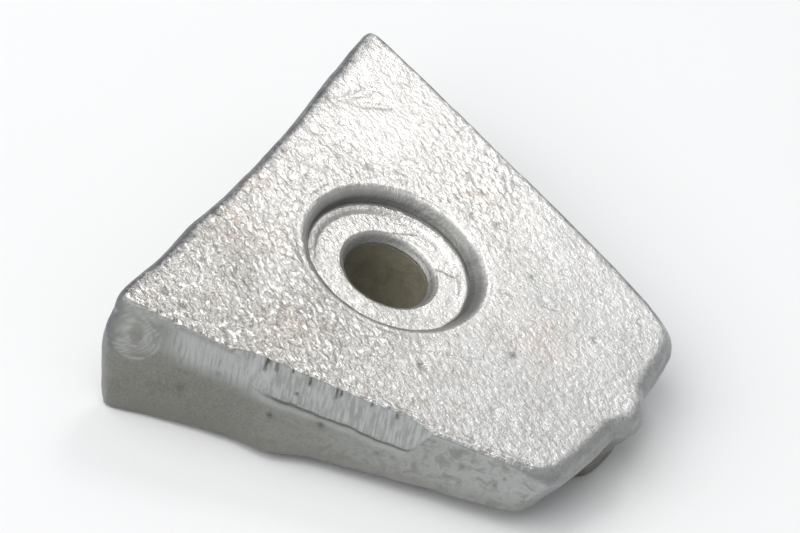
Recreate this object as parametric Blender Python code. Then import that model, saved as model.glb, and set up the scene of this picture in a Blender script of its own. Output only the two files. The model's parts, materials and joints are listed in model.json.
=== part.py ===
"""Bolt-on wedge anode for a boat's drive leg: a cast zinc block on a steel core bush.

Frame: metres, +Z up. The underside seat is the plane z = 0. +X runs along the wedge from
its thick, hollow-curved end to its thin end, and the sides mirror about y = 0. The
origin is on the seat, straight below the point where the bolt's axis meets the top face.
"""

import math

import bmesh
import bpy
from mathutils import Matrix, Vector

# Wedge: the top face falls towards +X.
WEDGE_ANGLE = math.radians(11.4)
TOP_AT_AXIS = 0.0117

# Plan of the walls where they meet the top face, and where they meet the seat. The walls
# lean in towards the seat, which lets the casting leave its mould.
TOP_PLAN = {
    "thick_end": -0.0193,
    "thick_half": 0.0292,
    "thin_end": 0.0282,
    "thin_half": 0.0150,
    "side_bow": 0.0007,
    "rib_proud": 0.0015,
    "blunt_corner": 0.0029,
}
SEAT_PLAN = {
    "thick_end": -0.0188,
    "thick_half": 0.0283,
    "thin_end": 0.0259,
    "thin_half": 0.0154,
    "side_bow": 0.0001,
    "rib_proud": 0.0007,
    "blunt_corner": 0.0018,
}
THICK_END_HOLLOW = 0.00115
THIN_END_BOW = 0.0013
THIN_END_SKEW = 0.012
RIB_HALF_WIDTH = 0.0039
RIB_MIDDLE = 0.0006

# Rounding of the corners in plan: how far back along both walls a corner's curve starts.
SHARP_CORNER = 0.0019
THIN_CORNER = 0.0024

# Rounding of the edges round the top face and the seat. The thin end is rounded more.
TOP_EDGE_RADIUS = 0.0008
THIN_EDGE_EXTRA = 0.0009
THIN_EDGE_REACH = 0.0030
SEAT_EDGE_RADIUS = 0.0006

# The -Y thick corner is blunted: its top edge is cut further in and further down.
BLUNT_INSET_EXTRA = 0.0003
BLUNT_DROP_EXTRA = 0.0020
BLUNT_REACH = 0.0050
BLUNT_SWELL = 0.0011

# A shallow swelling of the metal on one side's lower edge.
SWELL_OUT = 0.0009
SWELL_MIDDLE = -0.0012
SWELL_HALF_LENGTH = 0.0050

# Locating lug under the thin end: its outer face is bowed, and its root runs up into the
# block.
LUG_HALF_WIDTH = 0.0043
LUG_INNER = 0.0228
LUG_OUTER = 0.0272
LUG_BOW = 0.0009
LUG_DROP = 0.0024
LUG_ROOT = 0.0012
LUG_CORNER = 0.0012
LUG_EDGE_RADIUS = 0.0008

# Bolt seat and bolt hole, measured along the bolt's axis down from the top face.
SEAT_RADIUS = 0.00875
SEAT_DEPTH = 0.0020
SHOULDER_START = 0.0109
SHOULDER_ROUND = 0.0009
SEAT_FOOT_ROUND = 0.0006
BORE_RADIUS = 0.0048
LIP_RADIUS = 0.00105
LIP_LAND = 0.0002

# Steel bush cast into the block: it lines the hole below the lip, down to the seat.
BUSH_WALL = 0.0012
BUSH_WAIST_DEPTH = 0.0006
BUSH_WAIST_FROM = 0.0062
BUSH_WAIST_TO = 0.0092
FIT_GAP = 0.0003

# How finely each curved stretch is stepped. A turn is a share of a quarter circle, and a
# wall share is a height between the two rounded edges.
ROUND_SEGMENTS = 56
SIDE_STEPS = 22
THICK_END_STEPS = 12
CORNER_STEPS = 5
FLANK_STEPS = 3
RIB_HALF_STEPS = 5
LUG_FACE_STEPS = 8
SEAT_EDGE_TURNS = (0.0, 0.35, 0.7, 1.0)
WALL_SHARES = (0.3, 0.6)
TOP_EDGE_TURNS = (0.0, 0.3, 0.6, 0.85, 1.0)
LUG_EDGE_TURNS = (1.0, 0.6, 0.3, 0.0)
SMOOTH_ANGLE = math.radians(35)
MERGE_DISTANCE = 1e-6
CUT_MARGIN = 0.004


def clear_scene():
    for obj in list(bpy.data.objects):
        bpy.data.objects.remove(obj, do_unlink=True)


def make_material(name, color, roughness, metallic):
    material = bpy.data.materials.new(name)
    material.use_nodes = True
    shader = material.node_tree.nodes["Principled BSDF"]
    shader.inputs["Base Color"].default_value = (*color, 1.0)
    shader.inputs["Roughness"].default_value = roughness
    shader.inputs["Metallic"].default_value = metallic
    return material


def add_object(name, mesh_data, material=None):
    mesh = bpy.data.meshes.new(name)
    mesh_data.to_mesh(mesh)
    mesh_data.free()
    obj = bpy.data.objects.new(name, mesh)
    bpy.context.scene.collection.objects.link(obj)
    if material:
        mesh.materials.append(material)
    return obj


def smooth(obj):
    obj.data.shade_smooth()
    obj.data.set_sharp_from_angle(angle=SMOOTH_ANGLE)


def hide_tool(obj):
    obj.hide_render = True
    obj.display_type = "WIRE"


def top_height(x):
    return TOP_AT_AXIS - math.tan(WEDGE_ANGLE) * x


def axis_matrix():
    """Places a shape turned about local Z on the bolt's axis, with z = 0 in the top face."""
    place = Matrix.Translation((0.0, 0.0, TOP_AT_AXIS))
    return place @ Matrix.Rotation(WEDGE_ANGLE, 4, "Y")


# ---------------------------------------------------------------- plan of the block


def bowed(start, end, bow, steps, trim_start, trim_end):
    """Points from start to end, bowed out to the right of the way they run."""
    run = end - start
    out = Vector((run.y, -run.x)).normalized()
    first = trim_start / run.length
    last = 1.0 - trim_end / run.length
    points = []
    for i in range(steps + 1):
        u = first + (last - first) * i / steps
        points.append(start + run * u + out * bow * 4.0 * u * (1.0 - u))
    return points


def rounded_corner(before, corner, after):
    """The points between before and after, on a curve that turns round the corner."""
    points = []
    for i in range(1, CORNER_STEPS):
        u = i / CORNER_STEPS
        points.append(before * (1 - u) ** 2 + corner * 2 * u * (1 - u) + after * u**2)
    return points


def thin_end_points(plan):
    """The thin end from its -Y corner to its +Y corner, with the rib at its middle."""
    reach = plan["thin_half"] - THIN_CORNER
    flank = reach - RIB_HALF_WIDTH
    outer = [-reach + flank * i / FLANK_STEPS for i in range(FLANK_STEPS)]
    half_steps = range(-RIB_HALF_STEPS, RIB_HALF_STEPS + 1)
    rib = [RIB_MIDDLE + RIB_HALF_WIDTH * i / RIB_HALF_STEPS for i in half_steps]
    points = []
    for y in outer + rib + [-y for y in reversed(outer)]:
        bow = THIN_END_BOW * (1.0 - (y / plan["thin_half"]) ** 2)
        across_rib = (y - RIB_MIDDLE) / RIB_HALF_WIDTH
        rib_out = plan["rib_proud"] * max(0.0, 1.0 - across_rib**2)
        points.append(Vector((thin_end_at(plan, y) + bow + rib_out, y)))
    return points


def thin_end_at(plan, y):
    """X of the thin end's straight base line, which is a little out of square."""
    return plan["thin_end"] + THIN_END_SKEW * y


def plan_points(plan):
    """The block's outline, anticlockwise from above, starting at the +Y thick corner."""
    far_thick = Vector((plan["thick_end"], plan["thick_half"]))
    near_thick = Vector((plan["thick_end"], -plan["thick_half"]))
    thin_half = plan["thin_half"]
    near_thin = Vector((thin_end_at(plan, -thin_half), -thin_half))
    far_thin = Vector((thin_end_at(plan, thin_half), thin_half))
    bow = plan["side_bow"]
    blunt = plan["blunt_corner"]
    hollow = -THICK_END_HOLLOW
    thick_end = bowed(far_thick, near_thick, hollow, THICK_END_STEPS, SHARP_CORNER, blunt)
    near_side = bowed(near_thick, near_thin, bow, SIDE_STEPS, blunt, THIN_CORNER)
    thin_end = thin_end_points(plan)
    far_side = bowed(far_thin, far_thick, bow, SIDE_STEPS, THIN_CORNER, SHARP_CORNER)
    points = list(thick_end)
    points += rounded_corner(thick_end[-1], near_thick, near_side[0])
    points += near_side
    points += rounded_corner(near_side[-1], near_thin, thin_end[0])
    points += thin_end
    points += rounded_corner(thin_end[-1], far_thin, far_side[0])
    points += far_side
    points += rounded_corner(far_side[-1], far_thick, thick_end[0])
    return points


def outward_normals(points):
    normals = []
    for i, _ in enumerate(points):
        run = points[(i + 1) % len(points)] - points[i - 1]
        normals.append(Vector((run.y, -run.x)).normalized())
    return normals


def swell_at(point):
    """How far the lower edge of the -Y side swells out at this point of the seat's outline."""
    reach = (point.x - SWELL_MIDDLE) / SWELL_HALF_LENGTH
    if point.y > -SEAT_PLAN["thin_half"] or abs(reach) >= 1.0:
        return 0.0
    return SWELL_OUT * math.cos(reach * math.pi / 2) ** 2


def bluntness_at(point):
    """1 at the blunted -Y thick corner, falling to 0 away from it."""
    corner = Vector((TOP_PLAN["thick_end"], -TOP_PLAN["thick_half"]))
    return math.exp(-(((point - corner).length / BLUNT_REACH) ** 2))


def edge_radius_at(point):
    """Radius of the top edge, which grows towards the thin end."""
    from_thin_end = max(0.0, TOP_PLAN["thin_end"] - point.x) / THIN_EDGE_REACH
    return TOP_EDGE_RADIUS + THIN_EDGE_EXTRA * math.exp(-(from_thin_end**2))


def edge_drop_at(point):
    """How far below the top face its edge's rounding ends."""
    return edge_radius_at(point) + BLUNT_DROP_EXTRA * bluntness_at(point)


# ---------------------------------------------------------------- the zinc block


def wall_rings():
    """Rings of corners up the walls, from the seat's flat to the top face's flat."""
    seat = plan_points(SEAT_PLAN)
    top = plan_points(TOP_PLAN)
    seat_out = outward_normals(seat)
    top_out = outward_normals(top)
    seat = [p + out * swell_at(p) for p, out in zip(seat, seat_out)]
    rings = []
    for turn in SEAT_EDGE_TURNS:
        angle = turn * math.pi / 2
        inset = SEAT_EDGE_RADIUS * (1.0 - math.sin(angle))
        height = SEAT_EDGE_RADIUS * (1.0 - math.cos(angle))
        ring = []
        for p, out in zip(seat, seat_out):
            q = p - out * inset
            ring.append((q.x, q.y, height))
        rings.append(ring)
    for share in WALL_SHARES:
        ring = []
        for low, high, out in zip(seat, top, top_out):
            swell = BLUNT_SWELL * bluntness_at(high) * math.sin(share * math.pi)
            q = low.lerp(high, share) + out * swell
            top_z = top_height(high.x) - edge_drop_at(high)
            ring.append((q.x, q.y, SEAT_EDGE_RADIUS + share * (top_z - SEAT_EDGE_RADIUS)))
        rings.append(ring)
    for turn in TOP_EDGE_TURNS:
        angle = turn * math.pi / 2
        ring = []
        for p, out in zip(top, top_out):
            inset = edge_radius_at(p) + BLUNT_INSET_EXTRA * bluntness_at(p)
            q = p - out * inset * (1.0 - math.cos(angle))
            drop = edge_drop_at(p) * (1.0 - math.sin(angle))
            ring.append((q.x, q.y, top_height(q.x) - drop))
        rings.append(ring)
    return rings


def block_mesh():
    """The block before its lug and its bolt hole."""
    bm = bmesh.new()
    close_rings(bm, [[bm.verts.new(corner) for corner in ring] for ring in wall_rings()])
    return bm


def lug_outline(inset):
    """The lug's outline, drawn in by inset, anticlockwise from above."""
    half = LUG_HALF_WIDTH - inset
    inner = LUG_INNER + inset
    outer = LUG_OUTER - inset
    side = half - LUG_CORNER
    face = []
    for i in range(LUG_FACE_STEPS + 1):
        y = -side + 2 * side * i / LUG_FACE_STEPS
        face.append(Vector((outer + LUG_BOW * (1.0 - (y / half) ** 2), y)))
    near = [Vector((inner, -side)), Vector((inner + LUG_CORNER, -half))]
    near.append(Vector((outer - LUG_CORNER, -half)))
    far = [Vector((p.x, -p.y)) for p in reversed(near)]
    points = [near[0]]
    points += rounded_corner(near[0], Vector((inner, -half)), near[1])
    points += near[1:]
    points += rounded_corner(near[2], Vector((outer, -half)), face[0])
    points += face
    points += rounded_corner(face[-1], Vector((outer, half)), far[0])
    points += far[:2]
    points += rounded_corner(far[1], Vector((inner, half)), far[2])
    points += [far[2]]
    return points


def lug_mesh():
    """The locating lug, whose root runs up into the block."""
    levels = []
    for turn in LUG_EDGE_TURNS:
        angle = turn * math.pi / 2
        inset = LUG_EDGE_RADIUS * (1.0 - math.cos(angle))
        levels.append((inset, LUG_EDGE_RADIUS * (1.0 - math.sin(angle)) - LUG_DROP))
    levels.append((0.0, LUG_ROOT))
    bm = bmesh.new()
    rings = []
    for inset, height in levels:
        outline = lug_outline(inset)
        rings.append([bm.verts.new((p.x, p.y, height)) for p in outline])
    close_rings(bm, rings)
    return bm


def close_rings(bm, rings):
    """Walls between the rings, which run anticlockwise, lowest first, and both end faces."""
    for lower, upper in zip(rings, rings[1:]):
        for i in range(len(lower)):
            j = (i + 1) % len(lower)
            bm.faces.new((lower[i], lower[j], upper[j]))
            bm.faces.new((lower[i], upper[j], upper[i]))
    bm.faces.new(list(reversed(rings[0])))
    bm.faces.new(rings[-1])


def turned(profile, closed):
    """A shape turned about Z from (radius, height) points; an open profile starts and ends on Z."""
    bm = bmesh.new()
    verts = [bm.verts.new((radius, 0.0, height)) for radius, height in profile]
    edges = [bm.edges.new(pair) for pair in zip(verts, verts[1:])]
    if closed:
        edges.append(bm.edges.new((verts[-1], verts[0])))
    bmesh.ops.spin(
        bm,
        geom=verts + edges,
        cent=(0, 0, 0),
        axis=(0, 0, 1),
        angle=2 * math.pi,
        steps=ROUND_SEGMENTS,
        use_merge=True,
    )
    bmesh.ops.remove_doubles(bm, verts=bm.verts, dist=MERGE_DISTANCE)
    bmesh.ops.recalc_face_normals(bm, faces=bm.faces)
    return bm


def arc(center, radius, start_degrees, end_degrees, steps):
    points = []
    for i in range(steps + 1):
        angle = math.radians(start_degrees + (end_degrees - start_degrees) * i / steps)
        points.append((center[0] + radius * math.cos(angle), center[1] + radius * math.sin(angle)))
    return points


def hole_profile():
    """Half section of the space cut from the block: bolt seat, lip and the bush's pocket."""
    pocket = BORE_RADIUS + BUSH_WALL + FIT_GAP
    lip_bottom = -(SEAT_DEPTH + LIP_RADIUS + LIP_LAND)
    waist = pocket - BUSH_WAIST_DEPTH
    clear = SHOULDER_START + 2 * SHOULDER_ROUND
    points = [(0.0, CUT_MARGIN), (clear, CUT_MARGIN), (clear, SHOULDER_ROUND / 2)]
    points += arc((SHOULDER_START, -SHOULDER_ROUND), SHOULDER_ROUND, 80, 170, 4)
    points += arc((SEAT_RADIUS, SEAT_FOOT_ROUND - SEAT_DEPTH), SEAT_FOOT_ROUND, 0, -90, 3)
    points += arc((BORE_RADIUS + LIP_RADIUS, -SEAT_DEPTH - LIP_RADIUS), LIP_RADIUS, 90, 180, 4)
    points += [(BORE_RADIUS, lip_bottom), (pocket, lip_bottom)]
    points += waist_points(pocket, waist, FIT_GAP)
    points += [(pocket, -TOP_AT_AXIS - CUT_MARGIN), (0.0, -TOP_AT_AXIS - CUT_MARGIN)]
    return points


def waist_points(outside, waist, gap):
    """The waist's four corners, going down; gap narrows it, so that a ring fits inside it."""
    slope = outside - waist
    return [
        (outside, -BUSH_WAIST_FROM - gap),
        (waist, -BUSH_WAIST_FROM - slope - gap),
        (waist, -BUSH_WAIST_TO + slope + gap),
        (outside, -BUSH_WAIST_TO + gap),
    ]


def make_zinc_body():
    material = make_material("cast_zinc", (0.62, 0.62, 0.60), 0.42, 1.0)
    body = add_object("zinc_body", block_mesh(), material)
    lug = add_object("lug_tool", lug_mesh())
    hide_tool(lug)
    hole = add_object("hole_tool", turned(hole_profile(), closed=False))
    hole.matrix_world = axis_matrix()
    hide_tool(hole)
    for tool, operation in ((lug, "UNION"), (hole, "DIFFERENCE")):
        cut = body.modifiers.new(tool.name, "BOOLEAN")
        cut.operation = operation
        cut.solver = "EXACT"
        cut.object = tool
    smooth(body)
    return body


# ---------------------------------------------------------------- the steel bush


def bush_profile():
    outside = BORE_RADIUS + BUSH_WALL
    waist = outside - BUSH_WAIST_DEPTH
    top = -(SEAT_DEPTH + LIP_RADIUS + LIP_LAND + FIT_GAP)
    bottom = -TOP_AT_AXIS - CUT_MARGIN
    points = [(BORE_RADIUS, bottom), (BORE_RADIUS, top), (outside, top)]
    points += waist_points(outside, waist, 0.0)
    points += [(outside, bottom)]
    return points


def make_core_bush():
    """A waisted steel tube on the bolt's axis, cut off flush with the seat."""
    material = make_material("bush_steel", (0.09, 0.085, 0.075), 0.55, 1.0)
    bm = turned(bush_profile(), closed=True)
    bm.transform(axis_matrix())
    everything = list(bm.verts) + list(bm.edges) + list(bm.faces)
    cut = bmesh.ops.bisect_plane(
        bm, geom=everything, plane_co=(0, 0, 0), plane_no=(0, 0, -1), clear_outer=True
    )
    rim = [e for e in cut["geom_cut"] if isinstance(e, bmesh.types.BMEdge)]
    bmesh.ops.bridge_loops(bm, edges=rim)
    bmesh.ops.recalc_face_normals(bm, faces=bm.faces)
    bush = add_object("core_bush", bm, material)
    smooth(bush)
    return bush


clear_scene()
make_zinc_body()
make_core_bush()
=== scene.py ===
"""Looks for a bolt-on wedge anode: a zinc casting with a filed edge, on a steel core bush.

The shapes are made in millimetres, in the frame of the CAD model, and are turned into
metres as they become meshes. +X runs from the thick end to the thin end along the
wedge, the seat is the plane z = 0, and the bolt's axis meets the top face above the
origin. Most sizes repeat the ones that drive the CAD model. The rib, the rounded edges
and the lip round the bore are drawn more closely here, and the marks of casting, filing
and handling are added.
"""

import json
import math
from types import SimpleNamespace

import bmesh
import bpy
import numpy as np
from mathutils import Matrix, Vector, kdtree, noise
from mathutils.geometry import delaunay_2d_cdt


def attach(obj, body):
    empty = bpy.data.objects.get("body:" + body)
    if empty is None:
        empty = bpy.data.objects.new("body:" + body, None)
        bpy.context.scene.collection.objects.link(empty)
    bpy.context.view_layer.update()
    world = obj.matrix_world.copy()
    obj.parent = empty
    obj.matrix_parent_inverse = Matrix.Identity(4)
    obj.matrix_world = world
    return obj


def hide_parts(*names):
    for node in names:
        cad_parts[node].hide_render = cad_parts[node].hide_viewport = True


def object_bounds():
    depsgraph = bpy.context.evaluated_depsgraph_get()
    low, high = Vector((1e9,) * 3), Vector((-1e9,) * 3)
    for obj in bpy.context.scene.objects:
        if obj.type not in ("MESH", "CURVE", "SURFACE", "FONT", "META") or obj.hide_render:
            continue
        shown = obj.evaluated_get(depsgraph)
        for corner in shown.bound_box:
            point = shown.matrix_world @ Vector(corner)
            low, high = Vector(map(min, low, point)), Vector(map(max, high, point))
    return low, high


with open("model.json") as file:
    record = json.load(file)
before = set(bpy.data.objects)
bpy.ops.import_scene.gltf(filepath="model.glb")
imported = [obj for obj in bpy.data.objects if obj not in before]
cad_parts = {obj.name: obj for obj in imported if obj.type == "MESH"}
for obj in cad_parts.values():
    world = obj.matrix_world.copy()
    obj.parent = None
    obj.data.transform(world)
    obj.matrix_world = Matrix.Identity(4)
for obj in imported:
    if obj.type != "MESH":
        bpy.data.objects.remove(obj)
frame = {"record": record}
cad_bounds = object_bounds()

MM = 0.001

# The bolt's axis is the top face's normal, as the mount at the bolt head's seat has it.
MOUNTS = {mount["name"]: mount for mount in frame["record"]["mounts"]}
AXIS = np.array(MOUNTS["bolt_head_seat"]["axis"])
AXIS = AXIS / np.linalg.norm(AXIS)
WEDGE_ANGLE = math.atan2(AXIS[0], AXIS[2])
WEDGE_SLOPE = math.tan(WEDGE_ANGLE)
SEAT_POINT = np.array(MOUNTS["bolt_head_seat"]["pos_m"]) / MM

# ---------------------------------------------------------------- sizes, in millimetres

TOP_PLAN = {
    "thick_end": -19.3,
    "thick_half": 29.2,
    "thin_end": 28.2,
    "thin_half": 15.0,
    "side_bow": 0.7,
    "rib_proud": 1.5,
    "blunt_corner": 2.9,
}
SEAT_PLAN = {
    "thick_end": -18.8,
    "thick_half": 28.3,
    "thin_end": 25.9,
    "thin_half": 15.4,
    "side_bow": 0.1,
    "rib_proud": 0.45,
    "blunt_corner": 1.8,
}
THICK_END_HOLLOW = 1.15
THIN_END_BOW = 1.3
THIN_END_SKEW = 0.012
RIB_HALF_WIDTH = 3.9
RIB_MIDDLE = 1.1
SHARP_CORNER = 1.9
THIN_CORNER = 2.4
TOP_EDGE_RADIUS = 0.8
NEAR_EDGE_RADIUS = 0.4
THICK_EDGE_EXTRA = 0.5
THICK_EDGE_REACH = (1.2, 3.0)
THICK_EDGE_HALF = (20.0, 26.5)
THIN_EDGE_EXTRA = 0.9
THIN_EDGE_REACH = 3.0
SEAT_EDGE_RADIUS = 0.6
BLUNT_INSET_EXTRA = 0.3
BLUNT_DROP_EXTRA = 2.0
BLUNT_REACH = 5.0
BLUNT_SWELL = 1.1
SWELL_OUT = 0.9
SWELL_MIDDLE = -1.2
SWELL_HALF_LENGTH = 5.0

LUG_HALF_WIDTH = 4.3
LUG_INNER = 22.8
LUG_OUTER = 27.2
LUG_BOW = 0.9
LUG_DROP = 2.4
LUG_ROOT = 1.2
LUG_CORNER = 1.8
LUG_EDGE_RADIUS = 0.8
LUG_FACE_RINGS = (0.2, 0.4, 0.6, 0.8)

SEAT_RADIUS = 8.75
SEAT_DEPTH = 2.0
SHOULDER_START = 10.9
SHOULDER_ROUND = 1.45
SHOULDER_LEAD = 0.7
SEAT_FOOT_ROUND = 0.65
BORE_RADIUS = 4.8
LIP_START = 5.82
LIP_RADIUS = 0.8
LIP_EDGE = (4.76, -3.1)
LIP_BOTTOM = 3.25
BUSH_WALL = 1.2
BUSH_BEVEL = 0.05
TERRACE_FROM = 8.1
TERRACE_TO = 9.4
TERRACE_HIGH = 0.50
TERRACE_LOW = 0.19
BUSH_WAIST_DEPTH = 0.6
BUSH_WAIST_FROM = 6.2
BUSH_WAIST_TO = 9.2
CAST_SEAM = 0.05

# The top face meets the bolt's axis this far above the origin.
TOP_AT_AXIS = float(SEAT_POINT @ AXIS + SEAT_DEPTH) / AXIS[2]

# How finely the casting is stepped.
NEAR_SIDE_STEPS = 196
FAR_SIDE_STEPS = 130
THICK_END_STEPS = 156
CORNER_STEPS = 12
FLANK_STEPS = 32
RIB_HALF_STEPS = 15
LOW_WALL_STEPS = 16
HIGH_WALL_STEPS = 28
HIGH_WALL_FROM = 0.54
TOP_TURNS = 9
SEAT_TURNS = 4
ROUND_STEPS = 280
BUSH_ROUND_STEPS = 160
BUSH_BORE_STEPS = 24
TOP_GRID = 0.215
UNDERSIDE_GRID = 0.8
GRID_JITTER = 0.25


def top_height(x):
    return TOP_AT_AXIS - WEDGE_SLOPE * x


def on_axis(points):
    """Points about local Z, with z = 0 in the top face, placed on the bolt's axis."""
    turn = np.array(Matrix.Rotation(WEDGE_ANGLE, 3, "Y"))
    return points @ turn.T + (0.0, 0.0, TOP_AT_AXIS)


def rising(start, end, value):
    """0 up to start, rising smoothly to 1 at end."""
    t = np.clip((value - start) / (end - start), 0.0, 1.0)
    return t * t * (3.0 - 2.0 * t)


def fading(start, end, value):
    """1 up to start, falling smoothly to 0 at end."""
    return 1.0 - rising(start, end, value)


def within(value, rise, fall):
    """Rises from 0 to 1 over the pair of values in rise, and falls again over fall."""
    return rising(*rise, value) * fading(*fall, value)


def bump_at(value, middle, half_width):
    """1 where value is middle, falling to 0 either side."""
    return np.exp(-(((value - middle) / half_width) ** 2))


def lumps(points, size, seed):
    """Smooth noise from about -1 to 1, with lumps about size across, at each point."""
    return np.array([noise.noise(Vector(p)) for p in points / size + seed])


def uneven(points, *kinds):
    """The height at each point of several kinds of lumps, each (height, size, seed)."""
    return sum(height * lumps(points, size, seed) for height, size, seed in kinds)


# ---------------------------------------------------------------- outline of the casting


def bowed(start, end, bow, steps, trim_start, trim_end):
    """Points from start to end, bowed out to the right of the way they run."""
    run = end - start
    length = np.hypot(*run)
    out = np.array([run[1], -run[0]]) / length
    u = np.linspace(trim_start / length, 1.0 - trim_end / length, steps + 1)[:, None]
    return start + run * u + out * bow * 4.0 * u * (1.0 - u)


def rounded_corner(before, corner, after, steps):
    """The points between before and after, on a curve that turns round the corner."""
    u = np.linspace(0.0, 1.0, steps + 1)[1:-1, None]
    return before * (1 - u) ** 2 + corner * 2 * u * (1 - u) + after * u**2


def closed(stretches, corners, steps):
    """A loop of the stretches in turn, joined by a curve round the corner after each."""
    parts = []
    for before, corner, after in zip(stretches, corners, stretches[1:] + stretches[:1]):
        parts += [before, rounded_corner(before[-1], corner, after[0], steps)]
    return np.vstack(parts)


def thin_end_at(plan, y):
    """X of the thin end's straight base line, which is a little out of square."""
    return plan["thin_end"] + THIN_END_SKEW * y


def thin_end_points(plan):
    """The thin end from its -Y corner to its +Y corner, with the rib near its middle."""
    reach = plan["thin_half"] - THIN_CORNER
    rib = RIB_MIDDLE + np.linspace(-RIB_HALF_WIDTH, RIB_HALF_WIDTH, 2 * RIB_HALF_STEPS + 1)
    near_flank = np.linspace(-reach, rib[0], FLANK_STEPS, endpoint=False)
    far_flank = np.linspace(reach, rib[-1], FLANK_STEPS, endpoint=False)[::-1]
    y = np.concatenate([near_flank, rib, far_flank])
    bow = THIN_END_BOW * (1.0 - (y / plan["thin_half"]) ** 2)
    across_rib = (y - RIB_MIDDLE) / RIB_HALF_WIDTH
    rib_out = plan["rib_proud"] * np.maximum(0.0, 1.0 - across_rib**2)
    return np.column_stack([thin_end_at(plan, y) + bow + rib_out, y])


def plan_points(plan):
    """The outline, anticlockwise from above, starting at the +Y thick corner."""
    far_thick = np.array([plan["thick_end"], plan["thick_half"]])
    near_thick = np.array([plan["thick_end"], -plan["thick_half"]])
    half = plan["thin_half"]
    near_thin = np.array([thin_end_at(plan, -half), -half])
    far_thin = np.array([thin_end_at(plan, half), half])
    bow, blunt = plan["side_bow"], plan["blunt_corner"]
    thick_end = bowed(
        far_thick, near_thick, -THICK_END_HOLLOW, THICK_END_STEPS, SHARP_CORNER, blunt
    )
    near_side = bowed(near_thick, near_thin, bow, NEAR_SIDE_STEPS, blunt, THIN_CORNER)
    thin_end = thin_end_points(plan)
    far_side = bowed(far_thin, far_thick, bow, FAR_SIDE_STEPS, THIN_CORNER, SHARP_CORNER)
    stretches = [thick_end, near_side, thin_end, far_side]
    corners = [near_thick, near_thin, far_thin, far_thick]
    return closed(stretches, corners, CORNER_STEPS)


def outward(points):
    """Unit normals of a closed outline, in plan."""
    run = np.roll(points, -1, axis=0) - np.roll(points, 1, axis=0)
    normals = np.column_stack([run[:, 1], -run[:, 0]])
    return normals / np.linalg.norm(normals, axis=1, keepdims=True)


def swell_at(points):
    """How far the lower edge of the -Y side swells out at these points of the seat."""
    reach = np.clip((points[:, 0] - SWELL_MIDDLE) / SWELL_HALF_LENGTH, -1.0, 1.0)
    on_side = points[:, 1] < -SEAT_PLAN["thin_half"]
    return np.where(on_side, SWELL_OUT * np.cos(reach * math.pi / 2) ** 2, 0.0)


def bluntness_at(points):
    """1 at the blunted -Y thick corner, falling to 0 away from it."""
    corner = np.array([TOP_PLAN["thick_end"], -TOP_PLAN["thick_half"]])
    distance = np.linalg.norm(points[:, :2] - corner, axis=1)
    return np.exp(-((distance / BLUNT_REACH) ** 2))


def edge_radius_at(points):
    """Radius of the top edge: small along the -Y side, large round the thin end."""
    from_end = np.maximum(0.0, TOP_PLAN["thin_end"] - points[:, 0]) / THIN_EDGE_REACH
    radius = TOP_EDGE_RADIUS + THIN_EDGE_EXTRA * np.exp(-(from_end**2))
    by_thick_end = fading(*THICK_EDGE_REACH, points[:, 0] - TOP_PLAN["thick_end"])
    off_corners = fading(*THICK_EDGE_HALF, np.abs(points[:, 1]))
    radius += THICK_EDGE_EXTRA * by_thick_end * off_corners
    crisp = within((points - NEAR_CORNER) @ NEAR_RUN, *CRISP_SPAN)
    crisp *= (points - NEAR_CORNER) @ NEAR_OUT > -2.0
    return radius + (NEAR_EDGE_RADIUS - radius) * crisp


def wall_rings():
    """Rings of points up the walls, from the seat's flat to the top face's flat."""
    seat, top = plan_points(SEAT_PLAN), plan_points(TOP_PLAN)
    seat_out, top_out = outward(seat), outward(top)
    seat = seat + seat_out * swell_at(seat)[:, None]
    blunt = bluntness_at(top)
    radius = edge_radius_at(top)
    drop = radius + BLUNT_DROP_EXTRA * blunt
    inset = radius + BLUNT_INSET_EXTRA * blunt
    wall_top = top_height(top[:, 0]) - drop
    rings = []
    for angle in np.linspace(0.0, math.pi / 2, SEAT_TURNS + 1):
        plan = seat - seat_out * SEAT_EDGE_RADIUS * (1.0 - math.sin(angle))
        height = np.full(len(plan), SEAT_EDGE_RADIUS * (1.0 - math.cos(angle)))
        rings.append(np.column_stack([plan, height]))
    low = np.linspace(0.0, HIGH_WALL_FROM, LOW_WALL_STEPS, endpoint=False)[1:]
    high = np.linspace(HIGH_WALL_FROM, 1.0, HIGH_WALL_STEPS, endpoint=False)
    for share in np.concatenate([low, high]):
        swell = BLUNT_SWELL * blunt * math.sin(share * math.pi)
        plan = seat + (top - seat) * share + top_out * swell[:, None]
        height = SEAT_EDGE_RADIUS + share * (wall_top - SEAT_EDGE_RADIUS)
        rings.append(np.column_stack([plan, height]))
    for angle in np.linspace(0.0, math.pi / 2, TOP_TURNS + 1):
        plan = top - top_out * (inset * (1.0 - math.cos(angle)))[:, None]
        height = top_height(plan[:, 0]) - drop * (1.0 - math.sin(angle))
        rings.append(np.column_stack([plan, height]))
    return rings


# ---------------------------------------------------------------- bolt seat and bore


def arc(center, radius, start, end, steps):
    angle = np.radians(np.linspace(start, end, steps + 1))
    return np.column_stack(
        [center[0] + radius * np.cos(angle), center[1] + radius * np.sin(angle)]
    )


def straight(start, end, steps):
    """Points from start to end, without end."""
    u = np.linspace(0.0, 1.0, steps, endpoint=False)[:, None]
    return np.asarray(start) * (1 - u) + np.asarray(end) * u


def waist_profile(outside):
    """The four corners of the waist in a tube of this radius, going down."""
    waist = outside - BUSH_WAIST_DEPTH
    return np.array(
        [
            (outside, -BUSH_WAIST_FROM),
            (waist, -BUSH_WAIST_FROM - BUSH_WAIST_DEPTH),
            (waist, -BUSH_WAIST_TO + BUSH_WAIST_DEPTH),
            (outside, -BUSH_WAIST_TO),
        ]
    )


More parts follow.
